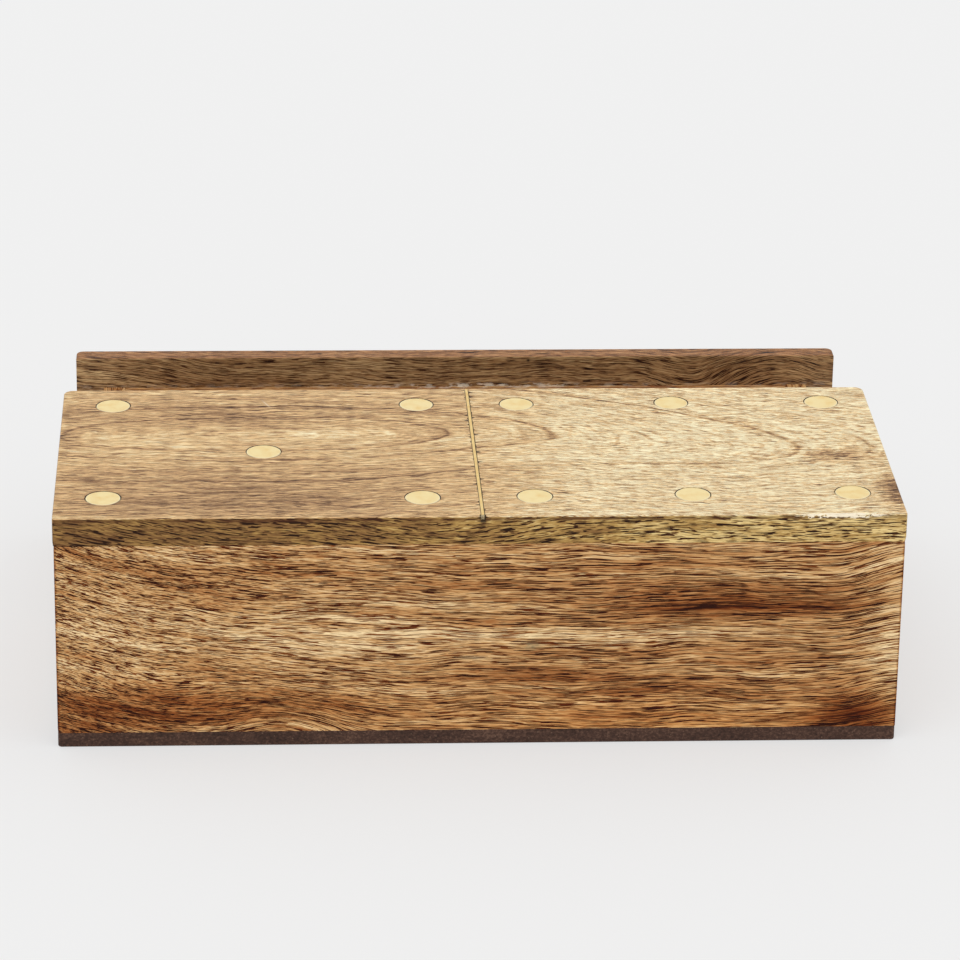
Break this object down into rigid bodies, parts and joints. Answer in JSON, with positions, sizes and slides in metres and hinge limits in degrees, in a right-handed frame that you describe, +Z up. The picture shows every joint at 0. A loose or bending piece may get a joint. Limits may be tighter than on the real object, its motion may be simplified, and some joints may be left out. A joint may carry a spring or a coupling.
{
  "type": "domino box with drawer",
  "caption": "Wooden sleeve whose top is a domino laid out in brass, with a drawer that slides out of the back for the tiles.",
  "frame": {"origin": "centre of the sleeve's underside, on the surface that the box stands on", "axes": "+X along the box, with the five pips on the -X half and the six pips on the +X half; +Y the way the drawer pulls out; +Z up"},
  "size_m": [0.2164, 0.155, 0.0635],
  "materials": {
    "top_wood": "oiled hardwood, golden tan with brown figure",
    "wall_wood": "oiled hardwood, golden tan with dark open pores",
    "face_wood": "oiled hardwood, dark brown with open pores",
    "drawer_wood": "plain sanded hardwood",
    "drawer_bottom_wood": "thin unfinished board",
    "base_fibreboard": "fibreboard painted matte dark brown",
    "inlay_brass": "brass sanded flat, pale and matte",
    "knob_brass": "turned brass, satin",
    "brad_steel": "bright steel wire"
  },
  "bodies": {
    "sleeve": {"top_board": "top_wood", "divider_strip": "inlay_brass", "pip_left_1": "inlay_brass", "pip_left_2": "inlay_brass", "pip_left_3": "inlay_brass", "pip_left_4": "inlay_brass", "pip_left_5": "inlay_brass", "pip_right_1": "inlay_brass", "pip_right_2": "inlay_brass", "pip_right_3": "inlay_brass", "pip_right_4": "inlay_brass", "pip_right_5": "inlay_brass", "pip_right_6": "inlay_brass", "long_wall": "wall_wood", "left_end_wall": "wall_wood", "right_end_wall": "wall_wood", "base_board": "base_fibreboard", "base_brads": "brad_steel"},
    "drawer": {"drawer_face": "face_wood", "drawer_outer_wall": "drawer_wood", "drawer_inner_wall": "drawer_wood", "drawer_left_side": "drawer_wood", "drawer_right_side": "drawer_wood", "drawer_bottom": "drawer_bottom_wood", "drawer_bottom_brads": "brad_steel", "drawer_corner_brads": "brad_steel", "drawer_face_brads": "brad_steel", "knob": "knob_brass", "knob_screw": "knob_brass"}
  },
  "joints": [
    {"name": "drawer_slide", "type": "slide", "parent": "sleeve", "child": "drawer", "axis": [0, 1, 0], "range_m": [-0.052, 0.033]}
  ]
}
